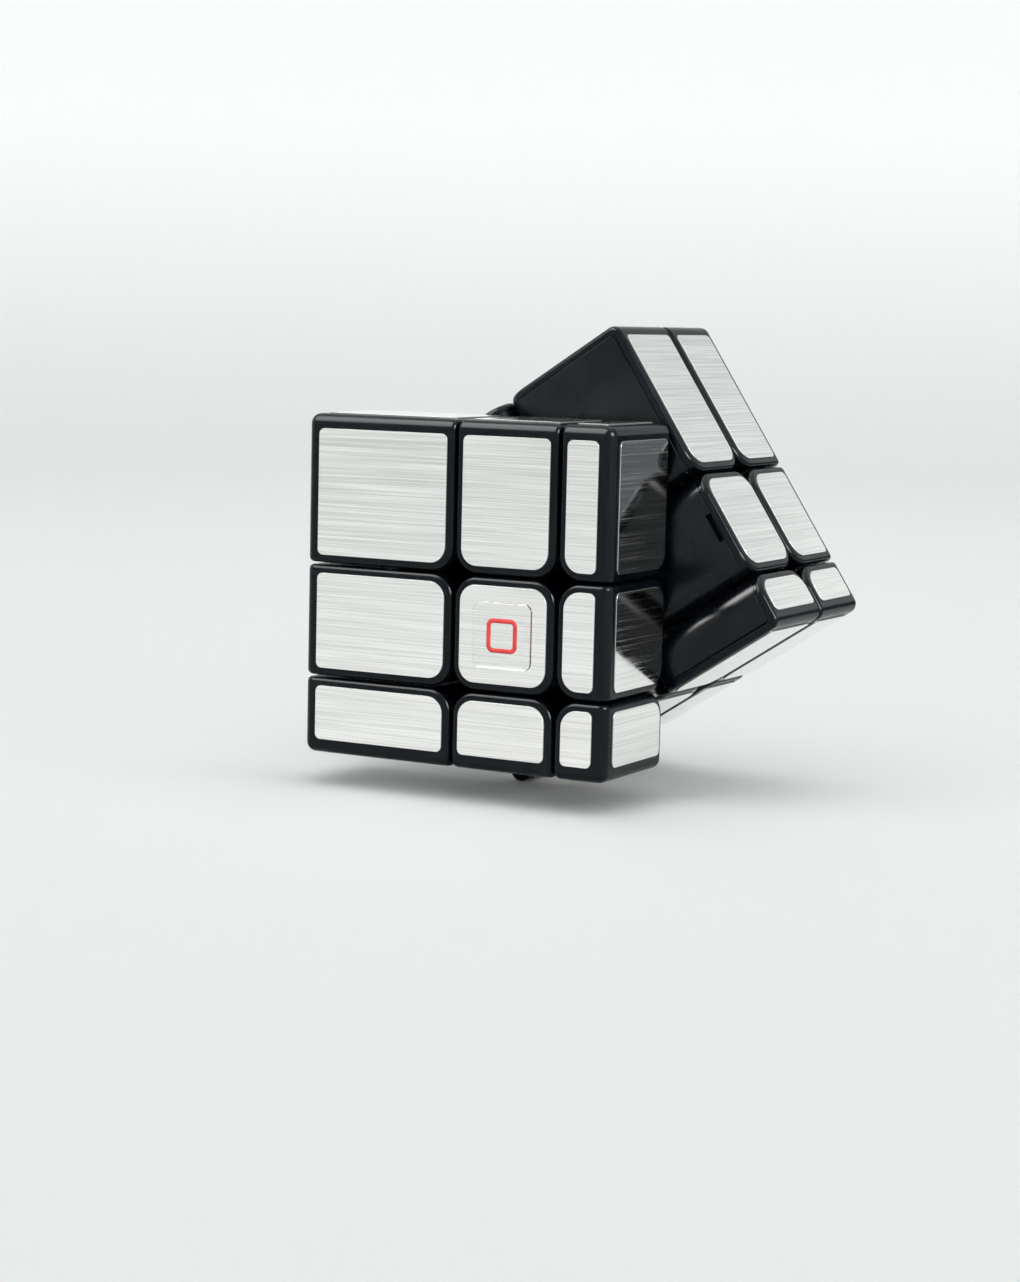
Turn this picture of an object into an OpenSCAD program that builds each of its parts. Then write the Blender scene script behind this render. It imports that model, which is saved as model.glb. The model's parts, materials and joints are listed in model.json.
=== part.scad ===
// Mirror block cube: a 3 x 3 x 3 twisting puzzle whose six outer layers all differ in thickness.
// It stands part-turned: the front layer is upright, and the middle slice and the back layer are
// turned together about the front-to-back axis. X runs right, Y runs back, Z runs up, in millimetres.
// The mechanism centre is where the six screw axes meet. Every piece is drawn about that point, and
// in_frame() then moves the whole object so that its origin lies under the middle of its outline.

/* [Cube] */
// Edge length of the solved cube
cube_size = 57; // [48:0.5:72]
// Half the thickness of the three middle slices
slice_half = 9.5; // [7.8:0.1:11.5]
// Thickness of the right layer
right_layer = 9.5; // [7.9:0.1:11.5]
// Thickness of the bottom layer
bottom_layer = 13; // [10.5:0.5:16]
// Thickness of the back layer
back_layer = 17; // [13:0.5:19]
// Turn of the middle slice and back layer against the front layer, clockwise seen from the front
turn_angle = 56.7; // [0:0.1:90]

/* [Caps and bodies] */
// Gap between neighbouring pieces
gap = 0.4; // [0.2:0.05:0.6]
// Wall of the outer caps
cap_wall = 1.3; // [1:0.1:1.8]
// Glue line between a cap and its body
seam = 0.1; // [0.05:0.05:0.2]
// Wall of the inner bodies
body_wall = 1.4; // [1:0.1:2]
// Radius along the edges of the whole cube
cube_edge_r = 1.7; // [1.2:0.1:2.2]
// Radius along the edges that face a gap
gap_edge_r = 0.8; // [0.5:0.1:1]
// Radius of the upright edges where two gaps cross
crossing_r = 4; // [2.5:0.1:5]
// Length of the pry notch under a centre cap
notch_length = 5; // [3:0.5:7]
// Height of the pry notch
notch_height = 1.1; // [0.8:0.1:1.5]

/* [Foils] */
// Thickness of a foil sticker
foil_t = 0.2; // [0.1:0.05:0.3]
// Margin from a slice cut to the foil
foil_gap_margin = 1.5; // [1:0.1:2.5]
// Margin from the cube's edge to the foil
foil_edge_margin = 2.4; // [1.8:0.1:3]
// Corner radius of a foil
foil_r = 1; // [0.5:0.1:1.5]
// Corner radius of a foil where two gaps cross
foil_crossing_r = 2.8; // [1.5:0.1:3]
// Side of the clear badge on the front centre
badge_side = 10.8; // [8:0.1:12]
// Thickness of the badge
badge_t = 0.35; // [0.2:0.05:0.6]
// Corner radius of the badge
badge_r = 1.3; // [0.5:0.1:2]

/* [Mechanism] */
// Radius of the screw shank
screw_r = 1.5; // [1.2:0.1:1.8]
// Radius of the screw head
head_r = 2.5; // [2.2:0.1:3]
// Height of the screw head
head_h = 1.5; // [1.2:0.1:1.8]
// Thickness of the washer under the head
washer_t = 0.3; // [0.2:0.05:0.5]
// Wire diameter of the spring
wire_d = 0.5; // [0.4:0.05:0.6]
// Mean radius of the spring
spring_r = 2.2; // [2:0.05:2.7]
// Turns of the spring
spring_turns = 4; // [3:1:6]
// Radius of the core's hub
hub_r = 5.2; // [4.5:0.1:6]
// Radius of the core's arms
arm_r = 3.2; // [2.8:0.1:3.6]
// Distance from the mechanism centre to the end of an arm
arm_length = 9; // [7.5:0.1:10.8]
// Thickness of the spring seat in a centre
seat_t = 1.8; // [1.4:0.1:2.2]
// Wall of a centre's boss around the spring
boss_wall = 1.6; // [1.2:0.1:2]
// How far feet reach under their neighbours
foot_overlap = 2.3; // [1.5:0.1:3]
// Running clearance between moving faces of the mechanism
fit = 0.24; // [0.15:0.01:0.35]
// Running clearance, on radius, of a centre's bore on its screw
bore_fit = 0.06; // [0.03:0.01:0.1]

/* [Hidden] */
$fn = 48;

// Outer faces of the cube, low and high, on X, Y and Z
left_layer = cube_size - 2 * slice_half - right_layer;
top_layer = cube_size - 2 * slice_half - bottom_layer;
front_layer = cube_size - 2 * slice_half - back_layer;
cube_lo = [-slice_half - left_layer, -slice_half - front_layer, -slice_half - bottom_layer];
cube_hi = [slice_half + right_layer, slice_half + back_layer, slice_half + top_layer];
nearest_face = min(concat(-cube_lo, cube_hi));

// Balls that part the caps' boxes, the feet and the tongues, from the outside in
neck = 1.6;
socket_r = sqrt(3) * (slice_half + gap / 2) + neck;
foot_cut = slice_half - foot_overlap;
tongue_neck = 2.6;
tongue_r = sqrt(2) * foot_cut + tongue_neck;
tongue_inner_r = 8.2;
lid = 0.6;
swept_r = nearest_face - cap_wall - lid;
stem_rise = 2;
overlap = 0.5;

// The stack on each arm, measured outwards from the mechanism centre
pocket_fit = 0.25;
pocket_r = max(spring_r + wire_d / 2, head_r) + pocket_fit;
boss_r = pocket_r + boss_wall;
tongue_cut = boss_r + fit / 2;
thread_fit = 0.02;
thread_start = 3.2;
seat_fit = 0.1;
seat_bottom = arm_length + seat_fit;
seat_top = seat_bottom + seat_t;
head_clear = 0.6;
head_top = nearest_face - cap_wall - head_clear;
washer_top = head_top - head_h;
spring_fit = 0.05;
spring_lo = seat_top + spring_fit + wire_d / 2;
spring_hi = washer_top - washer_t - spring_fit - wire_d / 2;
washer_r = head_r;
recess_w = 0.7;
recess_l = 3;
recess_depth = 0.9;

// Radii of a block's edges: cube edge, gap edge, crossing edge, edge hidden inside the cube
CAP_R = [cube_edge_r, gap_edge_r, crossing_r, gap_edge_r];
CAP_HOLLOW_R = [cube_edge_r - cap_wall / 2, 0, 0, 0];
seam_edge_r = 0.25;
BODY_R = [cube_edge_r - cap_wall / 2 - seam, seam_edge_r, crossing_r, gap_edge_r];
CAVITY_R = [0, 0, crossing_r - body_wall, 0];
cavity_min = 1;
beyond = 2;

// Pieces by their place in the cube: -1, 0 or 1 along X, Y and Z
PIECES = [for (y = [-1:1]) for (z = [1:-1:-1]) for (x = [-1:1]) if (x != 0 || y != 0 || z != 0) [x, y, z]];
ARMS = [[0, 0, 0], [180, 0, 0], [90, 0, 0], [-90, 0, 0], [0, 90, 0], [0, -90, 0]];
LAYERS = [-1, 0, 1];

function kind(p) = abs(p[0]) + abs(p[1]) + abs(p[2]);
function word(value, low, high) = value < 0 ? low : value > 0 ? high : "";
function piece_name(p) = str(word(p[1], "front_", "back_"), word(p[2], "bottom_", "top_"),
    word(p[0], "left_", "right_"), ["centre", "edge", "corner"][kind(p) - 1]);
function cap_name(p) = str(piece_name(p), "_cap");
function body_name(p) = str(piece_name(p), "_body");
function foil_name(layer) = str(["front", "middle", "back"][layer + 1], "_foils");

// The object's outline: the rounded edges of the upright front layer and of the turned block
function edge_spots(angle) = [
    for (x = [cube_lo[0] + cube_edge_r, cube_hi[0] - cube_edge_r])
        for (z = [cube_lo[2] + cube_edge_r, cube_hi[2] - cube_edge_r])
            [x * cos(angle) + z * sin(angle), z * cos(angle) - x * sin(angle)]
];
SPOTS = concat(edge_spots(0), edge_spots(turn_angle));
spot_x = [for (s = SPOTS) s[0]];
spot_z = [for (s = SPOTS) s[1]];
centre_x = (min(spot_x) + max(spot_x)) / 2;
centre_y = (cube_lo[1] + cube_hi[1]) / 2;
lowest_z = min(spot_z) - cube_edge_r;

module in_frame() translate([-centre_x, -centre_y, -lowest_z]) children();
module turned(layer) in_frame() rotate([0, layer < 0 ? 0 : turn_angle, 0]) children();

// Stands a shape drawn along Z along axis 0, 1 or 2 instead, keeping the axes in cyclic order
module along(axis) {
    if (axis == 0) rotate([90, 0, 90]) children();
    if (axis == 1) rotate([90, 0, 90]) rotate([90, 0, 90]) children();
    if (axis == 2) children();
}

// A piece's low and high faces on one axis, set in from the slice cuts and from the cube's faces
function lo(p, axis, from_cut, from_face) =
    p[axis] < 0 ? cube_lo[axis] + from_face : (p[axis] > 0 ? slice_half : -slice_half) + from_cut;
function hi(p, axis, from_cut, from_face) =
    p[axis] > 0 ? cube_hi[axis] - from_face : (p[axis] < 0 ? -slice_half : slice_half) - from_cut;

// The radius of the edge that runs along an axis, at one corner of the piece's section
function edge_radius(p, axis, side_b, side_c, radii) =
    let (at_b = p[(axis + 1) % 3] == side_b, at_c = p[(axis + 2) % 3] == side_c)
    at_b && at_c ? radii[0] : at_b || at_c ? radii[1] : p[axis] != 0 ? radii[2] : radii[3];

// A rectangle between two corners whose own corners may each have a radius:
// radii are for the corners (low, low), (high, low), (high, high) and (low, high)
module rounded_rect(low, high, radii) {
    difference() {
        translate(low) square(high - low);
        for (i = [0:3]) {
            right = i == 1 || i == 2;
            upper = i >= 2;
            r = radii[i];
            if (r > 0) difference() {
                translate([right ? high[0] - r : low[0] - beyond, upper ? high[1] - r : low[1] - beyond])
                    square(r + beyond);
                translate([right ? high[0] - r : low[0] + r, upper ? high[1] - r : low[1] + r])
                    circle(r);
            }
        }
    }
}

// Turns a shape drawn along +Z to point along a centre's own arm
module arm_of(p) {
    tilt = p[2] > 0 ? [0, 0, 0] : p[2] < 0 ? [180, 0, 0] : p[1] < 0 ? [90, 0, 0] : p[1] > 0 ? [-90, 0, 0]
        : [0, 90 * p[0], 0];
    rotate(tilt) children();
}

// A ball about the mechanism centre; in a centre piece its pole lies on the piece's own axis
module ball(p, r) {
    if (kind(p) == 1) arm_of(p) sphere(r);
    else sphere(r);
}

// A piece's box with its edges rounded by the rule above
module block(p, from_cut, from_face, radii) {
    intersection_for (axis = [0:2]) {
        b = (axis + 1) % 3;
        c = (axis + 2) % 3;
        low = [lo(p, b, from_cut, from_face), lo(p, c, from_cut, from_face)];
        high = [hi(p, b, from_cut, from_face), hi(p, c, from_cut, from_face)];
        bottom = lo(p, axis, from_cut, from_face);
        top = hi(p, axis, from_cut, from_face);
        along(axis) translate([0, 0, bottom]) linear_extrude(top - bottom)
            rounded_rect(low, high, [
                edge_radius(p, axis, -1, -1, radii), edge_radius(p, axis, 1, -1, radii),
                edge_radius(p, axis, 1, 1, radii), edge_radius(p, axis, -1, 1, radii)]);
    }
}

// The box that a piece may fill inside the balls, where the cuts lie nearer the centre
module inner_box(p, cut) {
    low = [for (a = [0:2]) p[a] < 0 ? cube_lo[a] + cap_wall + lid : p[a] * cut - (p[a] == 0 ? cut : 0)
        + fit / 2];
    high = [for (a = [0:2]) p[a] > 0 ? cube_hi[a] - cap_wall - lid : p[a] * cut + (p[a] == 0 ? cut : 0)
        - fit / 2];
    translate(low) cube(high - low);
}

// The outer skin of a piece: a bent plate on an edge, three plates on a corner, one on a centre
module cap(p) {
    color("#161616") difference() {
        block(p, gap / 2, 0, CAP_R);
        block(p, -beyond, cap_wall, CAP_HOLLOW_R);
    }
}

// The block behind a cap, with nothing cut into it yet
module solid_body(p) block(p, gap / 2, cap_wall + seam, BODY_R);

// The ball-shaped room under a body for its neighbours' feet, which leaves a lid behind each cap
module socket(p) {
    from_face = cap_wall + lid - fit / 2;
    low = [for (a = [0:2]) cube_lo[a] + from_face];
    high = [for (a = [0:2]) cube_hi[a] - from_face];
    intersection() {
        ball(p, socket_r + fit / 2);
        translate(low) cube(high - low);
    }
}

// The round room about each axis that a piece turns on, which keeps its foot under every lid
module swept_room(p) {
    intersection_for (axis = [for (a = [0:2]) if (p[a] != 0) a])
        along(axis) cylinder(h = 2 * cube_size, r = swept_r, center = true);
}

// The foot that reaches under the neighbouring pieces, and the stem that carries it
module foot(p) {
    difference() {
        union() {
            intersection() {
                inner_box(p, foot_cut);
                ball(p, socket_r - fit / 2);
                swept_room(p);
            }
            intersection() {
                inner_box(p, slice_half + (gap - fit) / 2);
                inner_box(p, foot_cut);
                ball(p, socket_r + stem_rise);
            }
        }
        ball(p, tongue_r + fit / 2);
    }
}

// The tongue of an edge, which reaches under the two centres beside it
module tongue(p) {
    difference() {
        intersection() {
            inner_box(p, tongue_cut);
            union() {
                ball(p, tongue_r - fit / 2);
                intersection() {
                    inner_box(p, foot_cut);
                    ball(p, tongue_r + overlap);
                }
            }
        }
        ball(p, tongue_inner_r);
    }
}

// Distance of a centre's outer face from the mechanism centre
function face_distance(p) = max([for (a = [0:2]) p[a] > 0 ? cube_hi[a] : p[a] < 0 ? -cube_lo[a] : 0]);

// The round boss of a centre, from the spring seat at the tip of the core's arm to under the cap
module boss(p) {
    boss_top = min(socket_r - neck, face_distance(p) - cap_wall - seam);
    arm_of(p) translate([0, 0, seat_bottom]) cylinder(h = boss_top - seat_bottom, r = boss_r);
}

// A centre on a thin layer has no room for a hollow above its ball-shaped floor
function has_cavity(p) =
    kind(p) > 1 || face_distance(p) - cap_wall > socket_r + body_wall + cavity_min;

// Slots beside a centre's cap in which a blade lifts it
module pry_notches(p) {
    side = slice_half - gap / 2;
    depth = body_wall - seam;
    bottom = face_distance(p) - cap_wall - notch_height;
    arm_of(p) for (s = [-1, 1])
        translate([-notch_length / 2, s * side - (s > 0 ? depth : beyond), bottom])
            cube([notch_length, depth + beyond, notch_height + beyond]);
}

// The inner part of a piece: thin walls that face its neighbours, and the foot that holds it in
module body(p) {
    color("#202020") difference() {
        union() {
            difference() {
                solid_body(p);
                socket(p);
            }
            foot(p);
            if (kind(p) == 2) tongue(p);
            if (kind(p) == 1) boss(p);
        }
        if (has_cavity(p)) difference() {
            block(p, gap / 2 + body_wall, -beyond, CAVITY_R);
            ball(p, socket_r + fit / 2 + body_wall);
        }
        if (kind(p) == 1) {
            arm_of(p) {
                cylinder(h = seat_top + beyond, r = screw_r + bore_fit);
                translate([0, 0, seat_top]) cylinder(h = cube_size, r = pocket_r);
            }
            pry_notches(p);
        }
    }
}

// The hub and its six arms, each with a hole for its screw
module core() {
    color("#d8d8d4") difference() {
        union() {
            sphere(hub_r);
            for (tilt = ARMS) rotate(tilt) cylinder(h = arm_length, r = arm_r);
        }
        for (tilt = ARMS) rotate(tilt) translate([0, 0, thread_start])
            cylinder(h = arm_length, r = screw_r + thread_fit);
    }
}

module screws() {
    color("#b9bcc0") for (tilt = ARMS) rotate(tilt) difference() {
        union() {
            translate([0, 0, thread_start]) cylinder(h = head_top - thread_start - head_h / 2, r = screw_r);
            translate([0, 0, washer_top]) cylinder(h = head_h, r = head_r);
        }
        for (turn = [0, 90]) rotate(turn)
            translate([-recess_l / 2, -recess_w / 2, head_top - recess_depth])
                cube([recess_l, recess_w, recess_depth + beyond]);
    }
}

module washers() {
    color("#d0d2d4") for (tilt = ARMS) rotate(tilt) translate([0, 0, washer_top - washer_t]) difference() {
        cylinder(h = washer_t, r = washer_r);
        translate([0, 0, -beyond]) cylinder(h = washer_t + 2 * beyond, r = screw_r + bore_fit);
    }
}

// One coil spring: a round wire swept along a helix
module spring() {
    sides = 6;
    steps = 12 * spring_turns;
    points = [for (i = [0:steps]) for (j = [0:sides - 1])
        let (turn = 360 * spring_turns * i / steps, around = 360 * j / sides,
            r = spring_r + wire_d / 2 * cos(around),
            z = spring_lo + (spring_hi - spring_lo) * i / steps + wire_d / 2 * sin(around))
        [r * cos(turn), r * sin(turn), z]];
    walls = [for (i = [0:steps - 1]) for (j = [0:sides - 1])
        let (next = (j + 1) % sides)
        [i * sides + j, i * sides + next, (i + 1) * sides + next, (i + 1) * sides + j]];
    start = [for (j = [sides - 1:-1:0]) j];
    end = [for (j = [0:sides - 1]) steps * sides + j];
    polyhedron(points, concat([start], walls, [end]));
}

module springs() color("#c8cacc") for (tilt = ARMS) rotate(tilt) spring();

// The foil on one outer face of a piece
module foil(p, axis) {
    b = (axis + 1) % 3;
    c = (axis + 2) % 3;
    low = [lo(p, b, foil_gap_margin, foil_edge_margin), lo(p, c, foil_gap_margin, foil_edge_margin)];
    high = [hi(p, b, foil_gap_margin, foil_edge_margin), hi(p, c, foil_gap_margin, foil_edge_margin)];
    bottom = p[axis] > 0 ? cube_hi[axis] : cube_lo[axis] - foil_t;
    radii = [foil_r, foil_r, foil_crossing_r, foil_crossing_r];
    along(axis) translate([0, 0, bottom]) linear_extrude(foil_t)
        rounded_rect(low, high, [
            edge_radius(p, axis, -1, -1, radii), edge_radius(p, axis, 1, -1, radii),
            edge_radius(p, axis, 1, 1, radii), edge_radius(p, axis, -1, 1, radii)]);
}

// All the foils of one layer
module foils(layer) {
    color("#d9dadb") for (p = PIECES) if (p[1] == layer) for (axis = [0:2])
        if (p[axis] != 0) foil(p, axis);
}

// The clear domed badge on the front centre's foil
module badge() {
    half = badge_side / 2;
    color("#e6e8ea", 0.6) translate([0, cube_lo[1] - foil_t, 0]) rotate([90, 0, 0])
        linear_extrude(badge_t)
            rounded_rect([-half, -half], [half, half], [badge_r, badge_r, badge_r, badge_r]);
}

turned(0) core();
turned(0) screws();
turned(0) washers();
turned(0) springs();
for (p = PIECES) {
    turned(p[1]) body(p);
    turned(p[1]) cap(p);
}
for (layer = LAYERS) {
    turned(layer) foils(layer);
}
turned(-1) badge();
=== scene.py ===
"""Mirror block cube: a part-turned twisting puzzle in black plastic with brushed silver foils."""

import json
import math

import bmesh
import bpy
from mathutils import Matrix, Vector


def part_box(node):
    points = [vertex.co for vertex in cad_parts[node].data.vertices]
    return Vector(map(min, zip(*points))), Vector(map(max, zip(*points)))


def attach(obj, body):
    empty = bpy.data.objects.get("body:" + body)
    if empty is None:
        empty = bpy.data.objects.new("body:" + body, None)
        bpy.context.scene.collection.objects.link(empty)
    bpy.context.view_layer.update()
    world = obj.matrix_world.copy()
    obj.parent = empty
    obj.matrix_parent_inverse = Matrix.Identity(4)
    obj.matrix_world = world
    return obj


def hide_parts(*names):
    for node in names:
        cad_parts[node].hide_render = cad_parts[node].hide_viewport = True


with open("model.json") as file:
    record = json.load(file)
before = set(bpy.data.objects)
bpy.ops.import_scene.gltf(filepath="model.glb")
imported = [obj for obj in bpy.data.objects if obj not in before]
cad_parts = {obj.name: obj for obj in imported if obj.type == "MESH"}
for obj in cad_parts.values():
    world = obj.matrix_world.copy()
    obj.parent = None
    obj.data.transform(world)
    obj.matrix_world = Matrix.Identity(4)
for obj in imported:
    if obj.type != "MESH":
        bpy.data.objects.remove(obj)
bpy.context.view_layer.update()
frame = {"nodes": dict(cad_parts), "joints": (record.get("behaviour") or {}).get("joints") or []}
scene = bpy.context.scene

# ---------------------------------------------------------------------------------------------
# Camera. It stands to the puzzle's right and a little above it, and leans by about a degree.
# Its place is measured from the hub, the point where the six screw axes meet.
# ---------------------------------------------------------------------------------------------
mm = 0.001
hub = Vector(frame["joints"][0]["pos_m"])
azimuth = math.radians(28.73)
elevation = math.radians(6.77)
lean = math.radians(1.36)
distance = 467.9 * mm
hub_off_axis = Vector((13.54, 3.61)) * mm

back = Vector((math.sin(azimuth) * math.cos(elevation),
               -math.cos(azimuth) * math.cos(elevation), math.sin(elevation)))
level = (-back).cross(Vector((0, 0, 1))).normalized()
right = Matrix.Rotation(lean, 3, back) @ level
up = back.cross(right)

camera = bpy.data.objects.new("camera", bpy.data.cameras.new("camera"))
scene.collection.objects.link(camera)
camera.data.sensor_width = 36
camera.data.lens = 76.8
camera.data.clip_start = 0.01
stand_point = hub + back * distance - right * hub_off_axis.x - up * hub_off_axis.y
camera.matrix_world = Matrix.Translation(stand_point) @ Matrix((right, up, back)).transposed().to_4x4()
scene.camera = camera

# ---------------------------------------------------------------------------------------------
# Stage. A pale round floor whose rim sweeps up into a wall, so that every side has the same plain
# surroundings. A pale sky and a soft box overhead light it. Two more boxes, at the front left and
# at the right, show only as highlights in the glossy plastic and the foils.
# ---------------------------------------------------------------------------------------------
floor_radius = 0.9
sweep_radius = 0.5
wall_height = 0.9
sweep_steps = 12
inner_ring = 0.3
floor_sides = 96
profile = [(0.0, 0.0), (inner_ring, 0.0), (floor_radius, 0.0)]
for step in range(1, sweep_steps + 1):
    bend = math.radians(90 * step / sweep_steps)
    profile.append((floor_radius + sweep_radius * math.sin(bend), sweep_radius * (1 - math.cos(bend))))
profile.append((floor_radius + sweep_radius, sweep_radius + wall_height))

mesh = bmesh.new()
chain = [mesh.verts.new((radius, 0, height)) for radius, height in profile]
spokes = [mesh.edges.new(pair) for pair in zip(chain, chain[1:])]
bmesh.ops.spin(mesh, geom=chain + spokes, cent=(0, 0, 0), axis=(0, 0, 1), angle=2 * math.pi,
               steps=floor_sides)
bmesh.ops.remove_doubles(mesh, verts=mesh.verts, dist=1e-5)
bmesh.ops.recalc_face_normals(mesh, faces=mesh.faces)
for face in mesh.faces:
    face.smooth = True
floor = bpy.data.objects.new("floor", bpy.data.meshes.new("floor"))
mesh.to_mesh(floor.data)
mesh.free()
scene.collection.objects.link(floor)

# The paper is painted a little grey on the floor and grey again high up, as painted shade, and painted
# white on the lower wall, where it also glows faintly as painted light. These are the heights at which it
# changes.
floor_painted_shade = (0.75, 0.76, 0.755, 1)
wall_painted_light = (0.9, 0.91, 0.905, 1)
upper_painted_shade = (0.66, 0.675, 0.675, 1)
white_from = 0.2
white_to = 0.42
grey_from = 0.62
paper = bpy.data.materials.new("white_paper")
paper.use_nodes = True
nodes = paper.node_tree.nodes
links = paper.node_tree.links
shader = nodes["Principled BSDF"]
shader.inputs["Roughness"].default_value = 0.9
shader.inputs["Specular IOR Level"].default_value = 0.2
# Painted light: the lower wall glows faintly though it is no lamp.
shader.inputs["Emission Color"].default_value = (0.095, 0.096, 0.096, 1)
height_of = nodes.new("ShaderNodeSeparateXYZ")
links.new(nodes.new("ShaderNodeTexCoord").outputs["Object"], height_of.inputs["Vector"])
painted_wall_glow = nodes.new("ShaderNodeMapRange")
painted_wall_glow.inputs["From Max"].default_value = white_from
painted_wall_glow.interpolation_type = "SMOOTHSTEP"
links.new(height_of.outputs["Z"], painted_wall_glow.inputs["Value"])
links.new(painted_wall_glow.outputs["Result"], shader.inputs["Emission Strength"])
tint = nodes.new("ShaderNodeValToRGB")
stops = tint.color_ramp.elements
stops[0].color = floor_painted_shade
stops.new(white_from).color = wall_painted_light
stops.new(white_to).color = wall_painted_light
stops[-1].position = grey_from
stops[-1].color = upper_painted_shade
links.new(height_of.outputs["Z"], tint.inputs["Fac"])
links.new(tint.outputs["Color"], shader.inputs["Base Color"])
floor.data.materials.append(paper)

world = bpy.data.worlds.new("studio")
scene.world = world
world.use_nodes = True
world.node_tree.nodes["Background"].inputs["Color"].default_value = (0.97, 0.985, 0.98, 1)
world.node_tree.nodes["Background"].inputs["Strength"].default_value = 1.09


def soft_box(name, location, aim, size, power, lights_floor):
    """A square lamp in metres and watts. One that doesn't light the floor shows only in gloss."""
    lamp = bpy.data.objects.new(name, bpy.data.lights.new(name, "AREA"))
    lamp.data.shape = "RECTANGLE"
    lamp.data.size, lamp.data.size_y = size
    lamp.data.energy = power
    lamp.location = location
    lamp.rotation_euler = (Vector(aim) - Vector(location)).to_track_quat("-Z", "Y").to_euler()
    lamp.visible_diffuse = lights_floor
    scene.collection.objects.link(lamp)


puzzle_middle = (0, 0, 0.03)
soft_box("key_box", (-0.46, -0.48, 0.82), puzzle_middle, (0.8, 0.8), power=19, lights_floor=False)
soft_box("side_box", (0.95, -0.32, 0.5), puzzle_middle, (0.5, 0.5), power=20, lights_floor=False)
soft_box("overhead_box", (0.1, 0.25, 1.15), (0, 0.05, 0), (1.0, 0.8), power=3, lights_floor=True)
scene.view_settings.view_transform = "Standard"

# A grey card stands on the floor behind the right side, where only reflections see it. It gives the
# mirror foils on that side something darker than the floor to show.
card_distance = 0.33
card_half_width = 0.13
card_height = 0.08
aside = Vector((back.x, -back.y, 0)).normalized()
run = Vector((aside.y, -aside.x, 0)) * card_half_width
card_foot = Vector((hub.x, hub.y, 0)) + aside * card_distance
card_top = card_foot + Vector((0, 0, card_height))
card = bpy.data.objects.new("grey_card", bpy.data.meshes.new("grey_card"))
card.data.from_pydata([card_foot - run, card_foot + run, card_top + run, card_top - run], [],
                      [(0, 1, 2, 3)])
grey = bpy.data.materials.new("grey_card")
grey.use_nodes = True
grey.node_tree.nodes["Principled BSDF"].inputs["Base Color"].default_value = (0.06, 0.068, 0.08, 1)
card.data.materials.append(grey)
card.visible_camera = card.visible_diffuse = card.visible_shadow = card.visible_transmission = False
scene.collection.objects.link(card)

# ---------------------------------------------------------------------------------------------
# Grid of the cube. Every piece has a place of -1, 0 or 1 on X, Y and Z. The front layer is upright,
# and the middle slice and the back layer stand turned about the front-to-back axis.
# ---------------------------------------------------------------------------------------------
column_caps = ["front_left_edge_cap", "front_centre_cap", "front_right_edge_cap"]
depth_caps = ["front_top_edge_cap", "top_left_edge_cap", "back_top_edge_cap"]
row_caps = ["front_bottom_edge_cap", "front_centre_cap", "front_top_edge_cap"]
grid = []
for axis, caps in enumerate([column_caps, depth_caps, row_caps]):
    corners = [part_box(cap) for cap in caps]
    grid.append([(low[axis] - hub[axis], high[axis] - hub[axis]) for low, high in corners])

turned_low, turned_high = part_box("right_centre_cap")
reach = (turned_low + turned_high) / 2 - hub
block_turn = Matrix.Rotation(math.atan2(-reach.z, reach.x), 4, "Y")
layer_names = {-1: "front_layer", 0: "middle_slice", 1: "back_layer"}
places = [(x, y, z) for y in (-1, 0, 1) for z in (1, 0, -1) for x in (-1, 0, 1) if (x, y, z) != (0, 0, 0)]


def piece_name(place):
    x, y, z = place
    words = [{-1: "front", 1: "back"}.get(y), {-1: "bottom", 1: "top"}.get(z),
             {-1: "left", 1: "right"}.get(x)]
    words.append(("centre", "edge", "corner")[abs(x) + abs(y) + abs(z) - 1])
    return "_".join(word for word in words if word)


def layer_place(layer):
    """Where a layer that is drawn square about the hub stands in the puzzle."""
    return Matrix.Translation(hub) @ (Matrix.Identity(4) if layer < 0 else block_turn)


# ---------------------------------------------------------------------------------------------
# Caps. Each piece's outer skin is an injection-moulded shell in glossy black ABS, glued to the body
# behind it: a plate on a centre, a bent plate on an edge, three plates that meet on a corner.
# ---------------------------------------------------------------------------------------------
cap_wall = 1.3 * mm
cube_edge_r = 1.7 * mm
rim_r = 0.8 * mm
crossing_r = 4 * mm
crossing_steps = 10
cube_edge_steps = 6
rim_steps = 4
past_the_cut = 3 * mm
looks_out = 0.2
sharp_corner = math.radians(60)
smooth_below = math.radians(40)


def box_in_bmesh(low, high):
    mesh = bmesh.new()
    middle = (Vector(low) + Vector(high)) / 2
    size = Vector(high) - Vector(low)
    bmesh.ops.create_cube(mesh, size=1, matrix=Matrix.Translation(middle) @ Matrix.Diagonal((*size, 1)))
    return mesh


def outward(normal, place):
    """True if a face looks out of the whole cube, and not into a gap between pieces."""
    return any(place[axis] != 0 and normal[axis] * place[axis] > looks_out for axis in range(3))


def round_edges(mesh, edges, radius, steps):
    if edges:
        bmesh.ops.bevel(mesh, geom=edges, offset=radius, segments=steps, profile=0.5, affect="EDGES",
                        offset_type="OFFSET", clamp_overlap=False)


def edges_between(mesh, place, count):
    """The sharp edges with this many outward faces: 0 at a crossing, 1 at a rim, 2 at a cube edge."""
    found = []
    for edge in mesh.edges:
        if edge.calc_face_angle(0) > sharp_corner:
            if sum(outward(face.normal, place) for face in edge.link_faces) == count:
                found.append(edge)
    return found


def crossing_edges(mesh, place):
    """Of the edges between two cuts, those that run out to one of the cube's faces."""
    found = []
    for edge in edges_between(mesh, place, 0):
        run = edge.verts[1].co - edge.verts[0].co
        axis = max(range(3), key=lambda a: abs(run[a]))
        if place[axis] != 0:
            found.append(edge)
    return found


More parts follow.
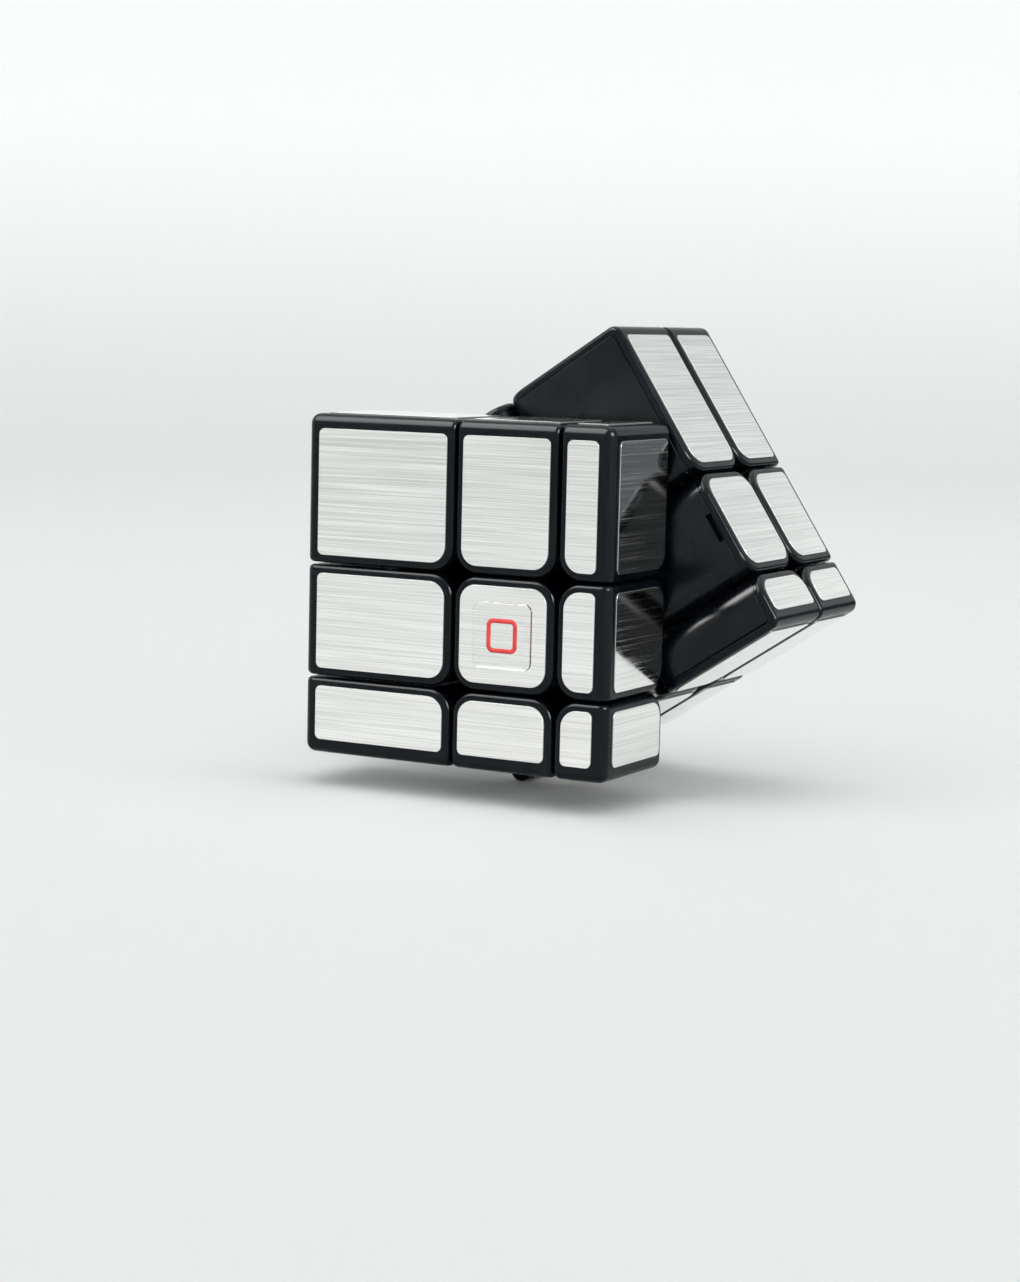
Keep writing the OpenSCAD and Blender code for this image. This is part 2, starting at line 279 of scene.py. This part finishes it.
def cap_mesh(place):
    low = [grid[axis][place[axis] + 1][0] for axis in range(3)]
    high = [grid[axis][place[axis] + 1][1] for axis in range(3)]
    shell = box_in_bmesh(low, high)
    round_edges(shell, crossing_edges(shell, place), crossing_r, crossing_steps)
    round_edges(shell, edges_between(shell, place, 2), cube_edge_r, cube_edge_steps)
    round_edges(shell, edges_between(shell, place, 1), rim_r, rim_steps)

    hollow_low = [low[axis] + (cap_wall if place[axis] < 0 else -past_the_cut) for axis in range(3)]
    hollow_high = [high[axis] - (cap_wall if place[axis] > 0 else -past_the_cut) for axis in range(3)]
    hollow = box_in_bmesh(hollow_low, hollow_high)
    round_edges(hollow, edges_between(hollow, place, 2), cube_edge_r - cap_wall / 2, cube_edge_steps)

    made = []
    for part in (shell, hollow):
        bmesh.ops.recalc_face_normals(part, faces=part.faces)
        data = bpy.data.meshes.new("cap_part")
        part.to_mesh(data)
        part.free()
        made.append(bpy.data.objects.new("cap_part", data))
        scene.collection.objects.link(made[-1])
    outer, inner = made
    cut = outer.modifiers.new("hollow", "BOOLEAN")
    cut.operation = "DIFFERENCE"
    cut.solver = "MANIFOLD"
    cut.object = inner
    bpy.context.view_layer.update()
    data = bpy.data.meshes.new_from_object(outer.evaluated_get(bpy.context.evaluated_depsgraph_get()))
    bpy.data.objects.remove(outer)
    bpy.data.objects.remove(inner)
    return data


def shade_by_angle(data):
    """Smooths the fillets and leaves the flats flat, then stores the result as the mesh's normals."""
    mesh = bmesh.new()
    mesh.from_mesh(data)
    for face in mesh.faces:
        face.smooth = True
    for edge in mesh.edges:
        edge.smooth = edge.calc_face_angle(0) < smooth_below
    mesh.to_mesh(data)
    mesh.free()
    holder = bpy.data.objects.new("holder", data)
    scene.collection.objects.link(holder)
    weigh = holder.modifiers.new("weigh", "WEIGHTED_NORMAL")
    weigh.keep_sharp = True
    weigh.weight = 50
    bpy.context.view_layer.update()
    shaded = bpy.data.meshes.new_from_object(holder.evaluated_get(bpy.context.evaluated_depsgraph_get()))
    bpy.data.objects.remove(holder)
    return shaded


def new_material(name):
    """A node material with its shader ready to be wired."""
    material = bpy.data.materials.new(name)
    material.use_nodes = True
    nodes = material.node_tree.nodes
    return material, nodes, material.node_tree.links, nodes["Principled BSDF"]


def noise(nodes, links, vector, scale, detail, roughness=0.5):
    node = nodes.new("ShaderNodeTexNoise")
    node.inputs["Scale"].default_value = scale
    node.inputs["Detail"].default_value = detail
    node.inputs["Roughness"].default_value = roughness
    links.new(vector, node.inputs["Vector"])
    return node.outputs["Fac"]


def spread(nodes, links, value, low, high, to_low, to_high):
    """Maps a value from one range to another, and stops at the ends."""
    node = nodes.new("ShaderNodeMapRange")
    for name, number in zip(("From Min", "From Max", "To Min", "To Max"), (low, high, to_low, to_high)):
        node.inputs[name].default_value = number
    links.new(value, node.inputs["Value"])
    return node.outputs["Result"]


def blend_colours(nodes, links, factor, first, second):
    node = nodes.new("ShaderNodeMix")
    node.data_type = "RGBA"
    node.inputs["A"].default_value = first
    node.inputs["B"].default_value = second
    links.new(factor, node.inputs["Factor"])
    return node.outputs["Result"]


def bump(nodes, links, height, strength, distance):
    """Turns a height into shading, where the distance is the full height in metres."""
    node = nodes.new("ShaderNodeBump")
    node.inputs["Strength"].default_value = strength
    node.inputs["Distance"].default_value = distance
    links.new(height, node.inputs["Height"])
    return node.outputs["Normal"]


def moulded_plastic(name, colour, paler, roughness, gloss, specks):
    """Black ABS: a faint moulding ripple, fine grain, finger smudges and a little pale dust."""
    material, nodes, links, shader = new_material(name)
    where = nodes.new("ShaderNodeTexCoord").outputs["Object"]
    smudge = noise(nodes, links, where, scale=90, detail=3, roughness=0.6)
    grain = noise(nodes, links, where, scale=4500, detail=2)
    ripple = noise(nodes, links, where, scale=160, detail=1)
    shade = blend_colours(nodes, links, spread(nodes, links, smudge, 0.35, 0.7, 0, 1), colour, paler)

    dust = nodes.new("ShaderNodeTexVoronoi")
    dust.inputs["Scale"].default_value = 420
    links.new(where, dust.inputs["Vector"])
    few = nodes.new("ShaderNodeSeparateColor")
    links.new(dust.outputs["Color"], few.inputs["Color"])
    rare = spread(nodes, links, few.outputs["Red"], 1 - specks, 1 - specks * 0.8, 0, 1)
    dot = spread(nodes, links, dust.outputs["Distance"], 0.03, 0.07, 1, 0)
    speck = nodes.new("ShaderNodeMath")
    speck.operation = "MULTIPLY"
    links.new(rare, speck.inputs[0])
    links.new(dot, speck.inputs[1])
    dusty = nodes.new("ShaderNodeMix")
    dusty.data_type = "RGBA"
    dusty.inputs["B"].default_value = (0.16, 0.17, 0.18, 1)
    links.new(speck.outputs["Value"], dusty.inputs["Factor"])
    links.new(shade, dusty.inputs["A"])
    links.new(dusty.outputs["Result"], shader.inputs["Base Color"])

    links.new(spread(nodes, links, smudge, 0.3, 0.7, roughness - 0.06, roughness + 0.09),
              shader.inputs["Roughness"])
    height = nodes.new("ShaderNodeMath")
    height.operation = "MULTIPLY_ADD"
    height.inputs[1].default_value = 0.12
    links.new(grain, height.inputs[0])
    links.new(ripple, height.inputs[2])
    relief = bump(nodes, links, height.outputs["Value"], strength=0.35, distance=0.06 * mm)
    links.new(relief, shader.inputs["Normal"])
    shader.inputs["Specular IOR Level"].default_value = gloss
    return material


cap_plastic = moulded_plastic("cap_plastic", (0.001, 0.0025, 0.005, 1), (0.003, 0.005, 0.008, 1),
                              roughness=0.2, gloss=0.18, specks=0.02)
for place in places:
    piece = bpy.data.objects.new(piece_name(place) + "_shell", shade_by_angle(cap_mesh(place)))
    piece.data.transform(layer_place(place[1]))
    piece.data.materials.clear()
    piece.data.materials.append(cap_plastic)
    scene.collection.objects.link(piece)
    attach(piece, layer_names[place[1]])
    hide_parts(piece_name(place) + "_cap")

# ---------------------------------------------------------------------------------------------
# Bodies. The inner half of each piece is satin black ABS, thin-walled and hollow, with the foot that
# hooks under its neighbours. Dust settles on it, because only a part-turned puzzle shows it.
# ---------------------------------------------------------------------------------------------
body_plastic = moulded_plastic("body_plastic", (0.0008, 0.0018, 0.0035, 1), (0.0025, 0.004, 0.006, 1),
                               roughness=0.26, gloss=0.22, specks=0.06)
for place in places:
    frame["nodes"][piece_name(place) + "_body"].material_slots[0].material = body_plastic

# ---------------------------------------------------------------------------------------------
# Foils. Each outer face of a piece wears a die-cut sticker of brushed mirror foil with rounded
# corners, set in from the edges. The brushing runs across the front and back, and front to back
# on the other four sides.
# ---------------------------------------------------------------------------------------------
foil_t = 0.2 * mm
foil_edge = 0.06 * mm
foil_corner_r = 1.0 * mm
foil_crossing_r = 2.8 * mm
foil_from_gap = 1.3 * mm
foil_from_edge = 2.4 * mm
arc_points = 9
seed_per_foil = 3.7
seed_per_layer = 40


class TreeMaker:
    """Short calls for adding and joining nodes in one Geometry Nodes tree."""

    def __init__(self, name):
        self.tree = bpy.data.node_groups.new(name, "GeometryNodeTree")
        self.tree.interface.new_socket("Geometry", in_out="INPUT", socket_type="NodeSocketGeometry")
        self.tree.interface.new_socket("Geometry", in_out="OUTPUT", socket_type="NodeSocketGeometry")
        self.source = self.tree.nodes.new("NodeGroupInput")
        self.sink = self.tree.nodes.new("NodeGroupOutput")

    def named(self, name, kind):
        self.tree.interface.new_socket(name, in_out="INPUT", socket_type="NodeSocket" + kind)
        return self.source.outputs[name]

    def put(self, value, socket):
        if isinstance(value, bpy.types.NodeSocket):
            self.tree.links.new(value, socket)
        elif value is not None:
            socket.default_value = value

    def node(self, kind, inputs=(), output=0, **settings):
        node = self.tree.nodes.new(kind)
        for name, value in settings.items():
            setattr(node, name, value)
        for name, value in dict(inputs).items():
            self.put(value, node.inputs[name])
        return node.outputs[output]

    def math(self, operation, first, second=None, third=None):
        node = self.tree.nodes.new("ShaderNodeMath")
        node.operation = operation
        for value, socket in zip((first, second, third), node.inputs):
            self.put(value, socket)
        return node.outputs[0]

    def scale(self, vector, factor):
        node = self.tree.nodes.new("ShaderNodeVectorMath")
        node.operation = "SCALE"
        self.put(vector, node.inputs[0])
        self.put(factor, node.inputs["Scale"])
        return node.outputs[0]

    def vector(self, operation, first, second):
        node = self.tree.nodes.new("ShaderNodeVectorMath")
        node.operation = operation
        self.put(first, node.inputs[0])
        self.put(second, node.inputs[1])
        return node.outputs[0]

    def read(self, name, kind="FLOAT"):
        return self.node("GeometryNodeInputNamedAttribute", {"Name": name}, data_type=kind)

    def parts(self, vector):
        node = self.tree.nodes.new("ShaderNodeSeparateXYZ")
        self.put(vector, node.inputs[0])
        return node.outputs

    def smoothed(self, geometry):
        return self.node("GeometryNodeSetShadeSmooth", {"Geometry": geometry, "Shade Smooth": True})

    def finish(self, geometry, material):
        realized = self.node("GeometryNodeRealizeInstances", {"Geometry": geometry})
        finished = self.node("GeometryNodeSetMaterial", {"Geometry": realized, "Material": material})
        self.tree.links.new(finished, self.sink.inputs[0])


def grow(tree, seed_mesh, name, settings):
    """Runs a tree on a small mesh of points and returns the result as a plain, closed mesh object."""
    holder = bpy.data.objects.new("holder", seed_mesh)
    scene.collection.objects.link(holder)
    modifier = holder.modifiers.new("grow", "NODES")
    modifier.node_group = tree
    for item in tree.interface.items_tree:
        if item.in_out == "INPUT" and item.name in settings:
            modifier[item.identifier] = settings[item.name]
    bpy.context.view_layer.update()
    data = bpy.data.meshes.new_from_object(holder.evaluated_get(bpy.context.evaluated_depsgraph_get()))
    bpy.data.objects.remove(holder)
    made = bpy.data.objects.new(name, data)
    scene.collection.objects.link(made)
    return made


def foil_tree(material):
    """A closed thin plate on every point, whose four corners each take a radius of their own."""
    maker = TreeMaker("foil_stickers")
    thickness = maker.named("Thickness", "Float")
    edge = maker.named("Cut edge", "Float")
    steps = maker.named("Points per corner", "Int")

    around = maker.math("MULTIPLY", steps, 4)
    blank = maker.node("GeometryNodeMeshCylinder", {
        "Vertices": around, "Side Segments": 2, "Fill Segments": 1, "Radius": 1, "Depth": 2})
    x, y, level = maker.parts(maker.node("GeometryNodeInputPosition"))
    turn = maker.math("DIVIDE", maker.math("ARCTAN2", y, x), 2 * math.pi)
    whole_turn = maker.math("FRACT", maker.math("ADD", turn, 1.0001))
    count = maker.math("ROUND", maker.math("MULTIPLY", whole_turn, around))
    quarter = maker.math("FLOOR", maker.math("DIVIDE", maker.math("ADD", count, 0.5), steps))
    within = maker.math("SUBTRACT", count, maker.math("MULTIPLY", quarter, steps))
    part = maker.math("DIVIDE", within, maker.math("SUBTRACT", steps, 1))
    angle = maker.math("MULTIPLY", maker.math("ADD", quarter, part), math.pi / 2)
    middle = maker.math("MULTIPLY", maker.math("ADD", quarter, 0.5), math.pi / 2)
    for name, value in (("bend", angle), ("quarter", quarter), ("middle", middle), ("level", level)):
        blank = maker.node("GeometryNodeStoreNamedAttribute", {
            "Geometry": blank, "Name": name, "Value": value}, data_type="FLOAT", domain="POINT")

    stamped = maker.node("GeometryNodeInstanceOnPoints", {
        "Points": maker.source.outputs["Geometry"], "Instance": blank})
    plates = maker.node("GeometryNodeRealizeInstances", {"Geometry": stamped})

    # The plate has three rings: its foot, the shoulder under the cut edge, and the top.
    level = maker.read("level")
    upper = maker.math("GREATER_THAN", level, 0.5)
    shoulder = maker.math("GREATER_THAN", level, -0.5)
    rise = maker.math("SUBTRACT", maker.math("MULTIPLY", shoulder, thickness),
                      maker.math("MULTIPLY", maker.math("SUBTRACT", shoulder, upper), edge))
    inset = maker.math("MULTIPLY", upper, edge)

    quarter = maker.read("quarter")
    radius = None
    for index in range(4):
        chosen = maker.math("COMPARE", quarter, index, 0.5)
        share = maker.math("MULTIPLY", chosen, maker.read(f"radius_{index}"))
        radius = share if radius is None else maker.math("ADD", radius, share)
    bend = maker.read("bend")
    middle = maker.read("middle")
    wide, tall, seed = maker.parts(maker.read("half_size", "FLOAT_VECTOR"))
    spot = []
    for half, trig in ((wide, "COSINE"), (tall, "SINE")):
        side = maker.math("SIGN", maker.math(trig, middle))
        arc = maker.math("MULTIPLY", maker.math("SUBTRACT", radius, inset), maker.math(trig, bend))
        arc_centre = maker.math("MULTIPLY", side, maker.math("SUBTRACT", half, radius))
        spot.append(maker.math("ADD", arc_centre, arc))

    along = maker.read("along", "FLOAT_VECTOR")
    across = maker.read("across", "FLOAT_VECTOR")
    outwards = maker.vector("CROSS_PRODUCT", along, across)
    place = maker.read("place", "FLOAT_VECTOR")
    for direction, amount in ((along, spot[0]), (across, spot[1]), (outwards, rise)):
        place = maker.vector("ADD", place, maker.scale(direction, amount))
    plates = maker.node("GeometryNodeSetPosition", {"Geometry": plates, "Position": place})

    streaks = maker.node("ShaderNodeCombineXYZ", {"X": spot[0], "Y": spot[1], "Z": seed})
    plates = maker.node("GeometryNodeStoreNamedAttribute", {
        "Geometry": plates, "Name": "brushing", "Value": streaks}, data_type="FLOAT_VECTOR", domain="POINT")
    maker.finish(plates, material)
    return maker.tree


def brushed_foil():
    """Polished foil with long, hair-fine brushing lines. Its cut edges are matt and painted darker, a
    painted shade that keeps the lamps' highlights off them.
    """
    material, nodes, links, shader = new_material("mirror_foil")
    lines = nodes.new("ShaderNodeAttribute")
    lines.attribute_name = "brushing"

    def streaks(length, width, detail):
        """Noise drawn out along the brushing, to lines of about this length and width."""
        stretch = nodes.new("ShaderNodeMapping")
        stretch.vector_type = "POINT"
        stretch.inputs["Scale"].default_value = (1 / length, 1 / width, 1)
        links.new(lines.outputs["Vector"], stretch.inputs["Vector"])
        return noise(nodes, links, stretch.outputs["Vector"], scale=1, detail=detail, roughness=0.65)

    fine = streaks(length=30 * mm, width=0.2 * mm, detail=2)
    broad = streaks(length=60 * mm, width=0.9 * mm, detail=2)
    both = nodes.new("ShaderNodeMath")
    both.operation = "MULTIPLY_ADD"
    both.inputs[1].default_value = 0.25
    links.new(broad, both.inputs[0])
    links.new(fine, both.inputs[2])
    shade = blend_colours(nodes, links, spread(nodes, links, both.outputs["Value"], 0.48, 0.76, 0, 1),
                          (0.77, 0.76, 0.745, 1), (1.0, 0.988, 0.968, 1))
    cut = nodes.new("ShaderNodeAttribute")
    cut.attribute_name = "level"
    on_top = spread(nodes, links, cut.outputs["Fac"], 0.9, 1.0, 0, 1)
    # Painted shade: the cut edge is coloured dark so that it shows no bright highlight.
    painted_edge_shade = nodes.new("ShaderNodeMix")
    painted_edge_shade.data_type = "RGBA"
    painted_edge_shade.inputs["A"].default_value = (0.22, 0.23, 0.23, 1)
    links.new(shade, painted_edge_shade.inputs["B"])
    links.new(on_top, painted_edge_shade.inputs["Factor"])
    links.new(painted_edge_shade.outputs["Result"], shader.inputs["Base Color"])
    dull = spread(nodes, links, fine, 0.45, 0.68, 0.07, 0.24)
    matt_cut = nodes.new("ShaderNodeMix")
    matt_cut.inputs["A"].default_value = 0.55
    links.new(dull, matt_cut.inputs["B"])
    links.new(on_top, matt_cut.inputs["Factor"])
    links.new(matt_cut.outputs["Result"], shader.inputs["Roughness"])
    height = nodes.new("ShaderNodeMath")
    height.operation = "MULTIPLY_ADD"
    height.inputs[1].default_value = 0.7
    links.new(broad, height.inputs[0])
    links.new(fine, height.inputs[2])
    relief = bump(nodes, links, height.outputs["Value"], strength=0.25, distance=0.01 * mm)
    links.new(relief, shader.inputs["Normal"])
    shader.inputs["Metallic"].default_value = 1.0
    return material


def foil_layout(place, axis):
    """One sticker on a piece's face across this axis: its centre, directions, half size and corners."""
    normal = Vector((0, 0, 0))
    normal[axis] = place[axis]
    along = Vector((1, 0, 0)) if axis == 1 else Vector((0, 1, 0))
    across = normal.cross(along)
    u = max(range(3), key=lambda a: abs(along[a]))
    v = max(range(3), key=lambda a: abs(across[a]))
    centre = Vector((0, 0, 0))
    half = {}
    for a in (u, v):
        low, high = grid[a][place[a] + 1]
        low += foil_from_edge if place[a] < 0 else foil_from_gap
        high -= foil_from_edge if place[a] > 0 else foil_from_gap
        centre[a] = (low + high) / 2
        half[a] = (high - low) / 2
    face = grid[axis][place[axis] + 1]
    centre[axis] = face[0] if place[axis] < 0 else face[1]
    radii = []
    for side_u, side_v in ((1, 1), (-1, 1), (-1, -1), (1, -1)):
        at_u = place[u] != 0 and place[u] == side_u * along[u]
        at_v = place[v] != 0 and place[v] == side_v * across[v]
        radii.append(foil_corner_r if at_u or at_v else foil_crossing_r)
    return centre, along, across, (half[u], half[v]), radii


mirror_foil = brushed_foil()
foils = foil_tree(mirror_foil)
for layer in (-1, 0, 1):
    stand = layer_place(layer)
    in_layer = [place for place in places if place[1] == layer]
    sheets = [foil_layout(place, axis) for place in in_layer for axis in range(3) if place[axis] != 0]

    points = bpy.data.meshes.new("foil_points")
    points.from_pydata([(0, 0, 0)] * len(sheets), [], [])
    for name in ("place", "along", "across", "half_size"):
        points.attributes.new(name, "FLOAT_VECTOR", "POINT")
    for corner in range(4):
        points.attributes.new(f"radius_{corner}", "FLOAT", "POINT")
    for index, (centre, along, across, half, radii) in enumerate(sheets):
        points.attributes["place"].data[index].vector = stand @ centre
        points.attributes["along"].data[index].vector = stand.to_3x3() @ along
        points.attributes["across"].data[index].vector = stand.to_3x3() @ across
        seed = index * seed_per_foil + layer * seed_per_layer
        points.attributes["half_size"].data[index].vector = (*half, seed)
        for corner in range(4):
            points.attributes[f"radius_{corner}"].data[index].value = radii[corner]
    name = {-1: "front", 0: "middle", 1: "back"}[layer] + "_foils"
    piece = grow(foils, points, name + "_set",
                 {"Thickness": foil_t, "Cut edge": foil_edge, "Points per corner": arc_points})
    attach(piece, layer_names[layer])
    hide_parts(name)

# ---------------------------------------------------------------------------------------------
# Badge. A drop of clear resin sits on the front centre's foil over a small printed red outline.
# The resin is cast as a rounded square that swells a little towards its middle.
# ---------------------------------------------------------------------------------------------
badge_low, badge_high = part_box("badge")
badge_side = badge_high.x - badge_low.x
badge_t = badge_high.y - badge_low.y
badge_r = 1.3 * mm
badge_bond = 0.05 * mm
badge_shoulder = 0.9 * mm
wall_share = 0.15
swell_share = 0.8
mark_side = 5.6 * mm
mark_r = 1.2 * mm
mark_line = 0.75 * mm
mark_t = 0.03 * mm
badge_steps = 8
dome_steps = 7


def rounded_square(side, radius, steps):
    """The outline of a square with round corners, in order, about its own middle."""
    outline = []
    for corner in range(4):
        for step in range(steps + 1):
            angle = math.radians(90) * (corner + step / steps)
            middle = math.radians(90) * (corner + 0.5)
            across = math.copysign(side / 2 - radius, math.cos(middle)) + radius * math.cos(angle)
            upwards = math.copysign(side / 2 - radius, math.sin(middle)) + radius * math.sin(angle)
            outline.append((across, upwards))
    return outline


def rings_to_mesh(name, rings, closed_top):
    """Skins a stack of outlines, each with its distance out of the foil's top face."""
    mesh = bmesh.new()
    foot = Vector((hub.x, badge_high.y, hub.z))
    loops = [[mesh.verts.new(foot + Vector((x, -out, z))) for x, z in outline] for outline, out in rings]
    pairs = list(zip(loops, loops[1:]))
    if not closed_top:
        pairs.append((loops[-1], loops[0]))
    for lower, higher in pairs:
        for index in range(len(lower)):
            after = (index + 1) % len(lower)
            mesh.faces.new((lower[index], lower[after], higher[after], higher[index]))
    if closed_top:
        mesh.faces.new(loops[0][::-1])
        mesh.faces.new(loops[-1])
    bmesh.ops.recalc_face_normals(mesh, faces=mesh.faces)
    for face in mesh.faces:
        face.smooth = True
    data = bpy.data.meshes.new(name)
    mesh.to_mesh(data)
    mesh.free()
    piece = bpy.data.objects.new(name, data)
    scene.collection.objects.link(piece)
    return piece


# The resin reaches a little way into the foil, so that no thin film of air lies under it.
widest = rounded_square(badge_side, badge_r, badge_steps)
dome = [(widest, -badge_bond), (widest, badge_t * wall_share)]
for step in range(1, dome_steps + 1):
    bend = math.radians(90) * step / dome_steps
    shrink = badge_shoulder * (1 - math.cos(bend))
    rise = badge_t * (wall_share + swell_share * math.sin(bend))
    dome.append((rounded_square(badge_side - 2 * shrink, badge_r - shrink * 0.5, badge_steps), rise))
badge = rings_to_mesh("badge_dome", dome, True)
resin, nodes, links, shader = new_material("badge_resin")
where = nodes.new("ShaderNodeTexCoord").outputs["Object"]
rub = noise(nodes, links, where, scale=500, detail=3)
links.new(spread(nodes, links, rub, 0.4, 0.8, 0.02, 0.09), shader.inputs["Roughness"])
shader.inputs["Base Color"].default_value = (0.97, 0.98, 0.98, 1)
shader.inputs["Transmission Weight"].default_value = 1.0
shader.inputs["IOR"].default_value = 1.45
badge.data.materials.append(resin)
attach(badge, "front_layer")
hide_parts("badge")

outer_mark = rounded_square(mark_side, mark_r, badge_steps)
inner_mark = rounded_square(mark_side - 2 * mark_line, mark_r - mark_line, badge_steps)
mark = rings_to_mesh("badge_mark", [(outer_mark, 0), (outer_mark, mark_t), (inner_mark, mark_t),
                                    (inner_mark, 0)], False)
ink, nodes, links, shader = new_material("red_ink")
where = nodes.new("ShaderNodeTexCoord").outputs["Object"]
patchy = noise(nodes, links, where, scale=1400, detail=3)
links.new(blend_colours(nodes, links, spread(nodes, links, patchy, 0.3, 0.7, 0, 1),
                        (0.62, 0.012, 0.012, 1), (0.78, 0.03, 0.02, 1)), shader.inputs["Base Color"])
links.new(spread(nodes, links, patchy, 0.3, 0.7, 0.35, 0.5), shader.inputs["Roughness"])
mark.data.materials.append(ink)
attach(mark, "front_layer")
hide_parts("badge")

# ---------------------------------------------------------------------------------------------
# Core. The hub with its six arms is one white nylon moulding, slightly translucent and matt, and
# every centre turns about one of its arms.
# ---------------------------------------------------------------------------------------------
nylon, nodes, links, shader = new_material("core_nylon")
where = nodes.new("ShaderNodeTexCoord").outputs["Object"]
cloud = noise(nodes, links, where, scale=220, detail=3)
links.new(blend_colours(nodes, links, spread(nodes, links, cloud, 0.3, 0.7, 0, 1), (0.66, 0.65, 0.60, 1),
                        (0.78, 0.77, 0.73, 1)), shader.inputs["Base Color"])
links.new(spread(nodes, links, cloud, 0.3, 0.7, 0.42, 0.58), shader.inputs["Roughness"])
grain = noise(nodes, links, where, scale=3500, detail=2)
links.new(bump(nodes, links, grain, strength=0.3, distance=0.03 * mm), shader.inputs["Normal"])
shader.inputs["Subsurface Weight"].default_value = 0.15
shader.inputs["Subsurface Radius"].default_value = (0.002, 0.0018, 0.0015)
frame["nodes"]["core"].material_slots[0].material = nylon

# ---------------------------------------------------------------------------------------------
# Screws and washers. Zinc-plated steel screws with a cross recess run through each centre into the
# core, and a washer under each head lets the spring turn freely.
# ---------------------------------------------------------------------------------------------
def plated_steel(name, dark, light, roughness):
    material, nodes, links, shader = new_material(name)
    where = nodes.new("ShaderNodeTexCoord").outputs["Object"]
    grain = noise(nodes, links, where, scale=2600, detail=3)
    stain = noise(nodes, links, where, scale=400, detail=2)
    links.new(blend_colours(nodes, links, spread(nodes, links, stain, 0.3, 0.7, 0, 1), dark, light),
              shader.inputs["Base Color"])
    links.new(spread(nodes, links, grain, 0.3, 0.7, roughness - 0.08, roughness + 0.1),
              shader.inputs["Roughness"])
    links.new(bump(nodes, links, grain, strength=0.25, distance=0.02 * mm), shader.inputs["Normal"])
    shader.inputs["Metallic"].default_value = 1.0
    return material


zinc = plated_steel("screw_steel", (0.52, 0.54, 0.56, 1), (0.68, 0.69, 0.70, 1), 0.28)
frame["nodes"]["screws"].material_slots[0].material = zinc
frame["nodes"]["washers"].material_slots[0].material = zinc

# ---------------------------------------------------------------------------------------------
# Springs. Each arm has a short coil spring of round steel wire, closed at both ends, that sits in
# the centre's pocket between the spring seat and the washer.
# ---------------------------------------------------------------------------------------------
wire_d = 0.5 * mm
coil_r = 2.2 * mm
coil_length = 3.8 * mm
coil_turns = 4
coil_steps = 24
wire_sides = 10
springs_low, springs_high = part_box("springs")
coil_outer = (springs_high.y - springs_low.y) / 2 - wire_d / 2
coil_inner = coil_outer - coil_length


def spring_tree(material):
    """A coil of round wire on every point, with one closed turn at each end and open ones between."""
    maker = TreeMaker("coil_springs")
    wire = maker.named("Wire diameter", "Float")
    radius = maker.named("Mean radius", "Float")
    turns = maker.named("Turns", "Int")
    inner = maker.named("Inner end", "Float")
    outer = maker.named("Outer end", "Float")
    steps = maker.named("Steps per turn", "Int")
    count = maker.math("MULTIPLY", turns, steps)
    line = maker.node("GeometryNodeMeshLine", {"Count": maker.math("ADD", count, 1)})
    path = maker.node("GeometryNodeMeshToCurve", {"Mesh": line})
    part = maker.math("DIVIDE", maker.node("GeometryNodeInputIndex"), count)
    angle = maker.math("MULTIPLY", part, maker.math("MULTIPLY", turns, 2 * math.pi))
    closed = maker.math("DIVIDE", 1, turns)
    opened = maker.math("SUBTRACT", 1, maker.math("MULTIPLY", closed, 2))
    travel = maker.math("SUBTRACT", maker.math("SUBTRACT", outer, inner), maker.math("MULTIPLY", wire, 2))

    def ramp(start, length, rise):
        share = maker.node("ShaderNodeClamp", {"Value": maker.math(
            "DIVIDE", maker.math("SUBTRACT", part, start), length)})
        return maker.math("MULTIPLY", share, rise)

    height = maker.math("ADD", inner, ramp(0, closed, wire))
    height = maker.math("ADD", height, ramp(closed, opened, travel))
    height = maker.math("ADD", height, ramp(maker.math("SUBTRACT", 1, closed), closed, wire))
    spot = maker.node("ShaderNodeCombineXYZ", {
        "X": maker.math("MULTIPLY", radius, maker.math("COSINE", angle)),
        "Y": maker.math("MULTIPLY", radius, maker.math("SINE", angle)), "Z": height})
    path = maker.node("GeometryNodeSetPosition", {"Geometry": path, "Position": spot})
    section = maker.node("GeometryNodeCurvePrimitiveCircle", {
        "Resolution": wire_sides, "Radius": maker.math("DIVIDE", wire, 2)})
    coil = maker.node("GeometryNodeCurveToMesh", {
        "Curve": path, "Profile Curve": section, "Fill Caps": True})
    aim = maker.node("FunctionNodeAlignRotationToVector", {"Vector": maker.read("aim", "FLOAT_VECTOR")},
                     axis="Z")
    stood = maker.node("GeometryNodeInstanceOnPoints", {
        "Points": maker.source.outputs["Geometry"], "Instance": coil, "Rotation": aim})
    maker.finish(maker.smoothed(stood), material)
    return maker.tree


arms = [Vector(axis) for axis in ((1, 0, 0), (-1, 0, 0), (0, 1, 0), (0, -1, 0), (0, 0, 1), (0, 0, -1))]
points = bpy.data.meshes.new("arm_points")
points.from_pydata([hub] * len(arms), [], [])
aims = points.attributes.new("aim", "FLOAT_VECTOR", "POINT")
for index, arm in enumerate(arms):
    aims.data[index].vector = block_turn.to_3x3() @ arm
spring_steel = plated_steel("spring_steel", (0.45, 0.46, 0.48, 1), (0.62, 0.63, 0.65, 1), 0.24)
coils = grow(spring_tree(spring_steel), points, "coil_springs", {
    "Wire diameter": wire_d, "Mean radius": coil_r, "Turns": coil_turns, "Inner end": coil_inner,
    "Outer end": coil_outer, "Steps per turn": coil_steps})
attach(coils, "middle_slice")
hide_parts("springs")
